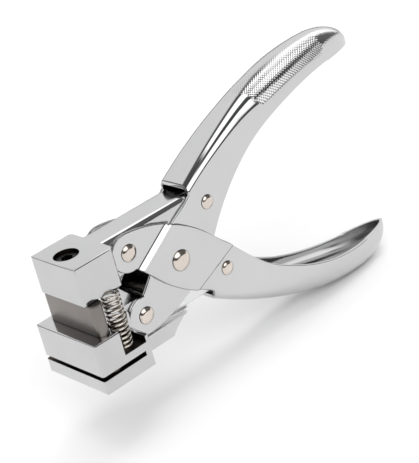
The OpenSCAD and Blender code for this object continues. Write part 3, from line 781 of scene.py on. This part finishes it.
# Satin, and lighter than the cast chrome as painted light, which clears the dark reflections on the heel
SATIN_PAINTED_LIGHT = metal("cast_satin_painted_light", (0.86, 0.86, 0.865), (0.80, 0.80, 0.805), (0.45, 0.60), 120, (0.10, 0.08))
RIVET = metal("rivet_nickel", (0.72, 0.645, 0.585), (0.63, 0.565, 0.51), (0.10, 0.18), 300, (0.10, 0.05),
              shade=stored("tone"))
TOOL = metal("blade_steel", (0.26, 0.238, 0.222), (0.206, 0.188, 0.175), (0.26, 0.38), 200, (0.1, 0.2),
             stretch=(1, 1, 8), grain=1400, shade=blade_painted_shade)
SCREW = metal("screw_black", (0.03, 0.03, 0.033), (0.015, 0.015, 0.017), (0.28, 0.42), 400, (0.1, 0.15))
SPRING = metal("spring_nickel", (0.72, 0.68, 0.62), (0.52, 0.48, 0.44), (0.10, 0.20), 300, (0.1, 0.1))


def dress(obj, material):
    obj.data.materials.clear()
    obj.data.materials.append(material)
    for p in obj.data.polygons:
        p.material_index = 0


def finish_part(obj, material, chosen):
    """Gives another finish to the faces chosen by their middle, in millimetres, and their normal."""
    obj.data.materials.append(material)
    index = len(obj.data.materials) - 1
    for p in obj.data.polygons:
        if chosen(p.center / MM, p.normal):
            p.material_index = index


def shade_smooth(mesh):
    """Drops the stored normals, so that the shading follows the faces again."""
    normals = mesh.attributes.get("custom_normal")
    if normals:
        mesh.attributes.remove(normals)
    mesh.polygons.foreach_set("use_smooth", [True] * len(mesh.polygons))


EDGE_R = 0.45
EDGE_ANGLE = math.radians(40)
WELD_DIST = 1e-6


def micrometres(co):
    return tuple(round(c * 1e6) for c in co)


def soften(obj, keep_sharp=None):
    """Rounds the sharp edges of a CAD piece by modifiers; its mesh stays."""
    mesh = obj.data
    bm = bmesh.new()
    bm.from_mesh(mesh)
    bmesh.ops.remove_doubles(bm, verts=bm.verts, dist=1e-7)
    sharp = {frozenset(micrometres(v.co) for v in e.verts) for e in bm.edges
             if len(e.link_faces) == 2 and e.calc_face_angle() > EDGE_ANGLE}
    bm.free()
    weights = np.zeros(len(mesh.edges), np.float32)
    hard = np.zeros(len(mesh.edges), bool)
    places = [micrometres(v.co) for v in mesh.vertices]
    for i, e in enumerate(mesh.edges):
        a, b = e.vertices
        if frozenset((places[a], places[b])) in sharp:
            middle = (mesh.vertices[a].co + mesh.vertices[b].co) / 2 / MM
            hard[i] = keep_sharp is not None and keep_sharp(middle)
            weights[i] = not hard[i]
    mesh.attributes.new("bevel_weight_edge", "FLOAT", "EDGE").data.foreach_set("value", weights)
    shade_smooth(mesh)
    layer = mesh.attributes.get("sharp_edge") or mesh.attributes.new("sharp_edge", "BOOLEAN", "EDGE")
    layer.data.foreach_set("value", hard)
    obj.modifiers.new("weld", "WELD").merge_threshold = WELD_DIST
    bevel = obj.modifiers.new("edges", "BEVEL")
    bevel.width = EDGE_R * MM
    bevel.segments = 3
    bevel.limit_method = "WEIGHT"
    bevel.use_clamp_overlap = True
    bevel.harden_normals = True


JAWS = {"lower_jaw": CASTING, "upper_jaw": CASTING}
SMALL = {"punch": TOOL, "punch_screw": SCREW, "pivot_spacer": SPRING,
         "near_spring_pin": SPRING, "far_spring_pin": SPRING}
for node, finish in {**JAWS, **SMALL}.items():
    dress(NODES[node], finish)

# Other finishes on the castings, in millimetres. Painted shade, a near-black metal, is put in the screw's
# bore, the throat, the springs' pockets and the slot with its bump. The heel's top and the tongue's sides
# above it are satin, and lighter than the other chrome as painted light.
SCREW_AT = sum(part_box("punch_screw"), Vector()) / 2 / MM
BORE_R = 4.9
THROAT_Z, THROAT_END, THROAT_WALL = (5.2, 7.2), 11.9, 0.3
POCKET_X, POCKET_Z, CORE_HALF = (3.45, 13.05), (9.95, 19.3), 8.45
SLOT_X, SLOT_HALF = (-2.7, 2.7), 15.2
BUMP_X, BUMP_HALF = 6.7, 5.2
HEEL_X, HEEL_Z, TONGUE_HALF = 14.0, 14.0, 6.6


def in_bore(at):
    return math.hypot(at.x - SCREW_AT.x, at.y - SCREW_AT.y) < BORE_R


def in_throat(at, normal):
    return THROAT_Z[0] < at.z < THROAT_Z[1] and at.x < THROAT_END and abs(normal.y) < 0.5 and (
        abs(normal.z) > 0.9 or at.x > THROAT_END - THROAT_WALL)


def in_pocket(at, normal):
    y = abs(at.y)
    return POCKET_X[0] < at.x < POCKET_X[1] and y > CORE_HALF and POCKET_Z[0] < at.z < POCKET_Z[1] and (
        abs(normal.y) < 0.5 or y < CORE_HALF + 0.2)


def in_slot(at, normal):
    y = abs(at.y)
    back = BUMP_X if y < BUMP_HALF else SLOT_X[1]
    return abs(normal.z) < 0.5 and SLOT_X[0] < at.x < back and y < SLOT_HALF


def on_heel(at, normal):
    return at.x > HEEL_X and at.z < HEEL_Z and (
        normal.z > 0.3 or (abs(at.y) < TONGUE_HALF and abs(normal.y) > 0.5))


# Painted shade in the screw's bore, the throat, the springs' pockets and the slot
finish_part(NODES["upper_jaw"], HOLLOW_PAINTED_SHADE, lambda at, normal: in_bore(at) and abs(normal.z) < 0.5)
finish_part(NODES["lower_jaw"], HOLLOW_PAINTED_SHADE,
            lambda at, normal: in_throat(at, normal) or in_pocket(at, normal) or in_slot(at, normal))
# Painted light on the heel's top and the tongue's sides, with a satin roughness
finish_part(NODES["lower_jaw"], SATIN_PAINTED_LIGHT, on_heel)
soften(NODES["lower_jaw"])
soften(NODES["upper_jaw"], in_bore)
for node in SMALL:
    shade_smooth(NODES[node].data)
    NODES[node].modifiers.new("weld", "WELD").merge_threshold = WELD_DIST
    NODES[node].modifiers.new("edges", "EDGE_SPLIT").split_angle = SMOOTH_ANGLE

for piece, node, body in ((upper_handle, "upper_handle", "upper_lever_body"),
                          (lower_handle, "lower_handle", "lower_lever_body")):
    dress(piece, SHEET)
    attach(piece, body)
    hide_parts(node)

# Springs: they ride on the lower jaw's body and stand in for the CAD springs, each with a mesh of its own
for piece, node in ((near_spring, "near_spring"), (far_spring, "far_spring")):
    dress(piece, SPRING)
    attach(piece, "lower_jaw_body")
    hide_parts(node)
    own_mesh(piece)

for node, (shank_r, head_r, dome, body) in RIVETS.items():
    piece = make_rivet(node + "_head", node, shank_r, head_r, dome)
    dress(piece, RIVET)
    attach(piece, body)
    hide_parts(node)

# Floor, just under the object's lowest point
FLOOR_Z = CAD_BOX[0].z - 0.0004
FLOOR_HALF = 4.0


def make_floor():
    mesh = bpy.data.meshes.new("floor")
    corners = [(x * FLOOR_HALF, y * FLOOR_HALF, FLOOR_Z) for x, y in ((-1, -1), (1, -1), (1, 1), (-1, 1))]
    mesh.from_pydata(corners, [], [(0, 1, 2, 3)])
    floor = placed("floor", mesh)
    material, tree, shader = new_material("floor_pale")
    grey = ramp(tree, noise(tree, coordinates(tree), 3, 3), [(0.3, 0.86), (0.7, 0.88)])
    fill(tree, shader, {"Base Color": grey, "Roughness": 0.9, "Specular IOR Level": 0.2})
    mesh.materials.append(material)


make_floor()

# Studio: a pale room with bright and dark panels, which the camera itself sees as plain white. The panels
# are given by the angle about X, in degrees from the near side over the top to the far side. One set
# gives way to the next between two directions along X.
BRIGHT, PALE = 2.1, 1.03
FRONT_PANELS = [(0, 0.06), (16, 0.06), (21, BRIGHT), (60, BRIGHT), (66, 0.10), (124, 0.12), (134, 0.2),
                (165, 0.2), (170, 0.04)]
MOUTH_PANELS = [(0, 0.06), (16, 0.06), (21, BRIGHT), (60, BRIGHT), (66, 0.10), (124, 0.12), (134, PALE),
                (165, PALE), (170, 0.04)]
SHANK_PANELS = [(0, 0.06), (12, 0.06), (17, BRIGHT), (50, BRIGHT), (55, 0.10), (74, 0.10), (79, BRIGHT),
                (106, BRIGHT), (112, 0.12), (124, 0.12), (134, PALE), (165, PALE), (170, 0.04)]
ARM_PANELS = [(0, 0.12), (80, 0.16), (86, BRIGHT), (112, BRIGHT), (124, PALE), (165, PALE), (170, 0.04)]
NEXT_PANELS = ((MOUTH_PANELS, -0.46, -0.34), (SHANK_PANELS, -0.21, -0.12), (ARM_PANELS, 0.22, 0.45))


def make_world():
    world = bpy.data.worlds.new("studio")
    bpy.context.scene.world = world
    world.use_nodes = True
    tree = world.node_tree

    def share(source, low, high, **settings):
        inputs = {"Value": source, "From Min": low, "From Max": high}
        return add(tree, "ShaderNodeMapRange", inputs, **settings).outputs["Result"]

    def blended(factor, a, b):
        return add(tree, "ShaderNodeMix", {0: factor, 6: a, 7: b}, data_type="RGBA").outputs[2]

    direction = add(tree, "ShaderNodeTexCoord").outputs["Generated"]
    axes = add(tree, "ShaderNodeSeparateXYZ", {"Vector": direction}).outputs
    nearer = combined(tree, "ShaderNodeMath", "MULTIPLY", axes["Y"], -1)
    half_turns = share(combined(tree, "ShaderNodeMath", "ARCTAN2", axes["Z"], nearer), 0, math.pi)

    def panels(stops):
        return ramp(tree, half_turns, [(angle / 180, grey) for angle, grey in stops])

    colour = panels(FRONT_PANELS)
    for stops, low, high in NEXT_PANELS:
        factor = share(axes["X"], low, high, interpolation_type="SMOOTHSTEP")
        colour = blended(factor, colour, panels(stops))
    colour = blended(add(tree, "ShaderNodeLightPath").outputs["Is Camera Ray"], colour, (1, 1, 1, 1))
    fill(tree, tree.nodes["Background"], {"Color": colour, "Strength": 1.0})


make_world()


def sun(name, towards, wide, power):
    """A soft light from above, even over the whole floor. The metal mirrors the studio's panels instead."""
    data = bpy.data.lights.new(name, "SUN")
    data.angle = wide
    data.energy = power
    light = placed(name, data)
    light.rotation_mode = "QUATERNION"
    light.rotation_quaternion = Vector(towards).to_track_quat("-Z", "Y")
    light.visible_glossy = False


sun("key", (0.56, 0.5, -1.6), math.radians(65), 1.2)
bpy.context.scene.view_settings.view_transform = "Standard"
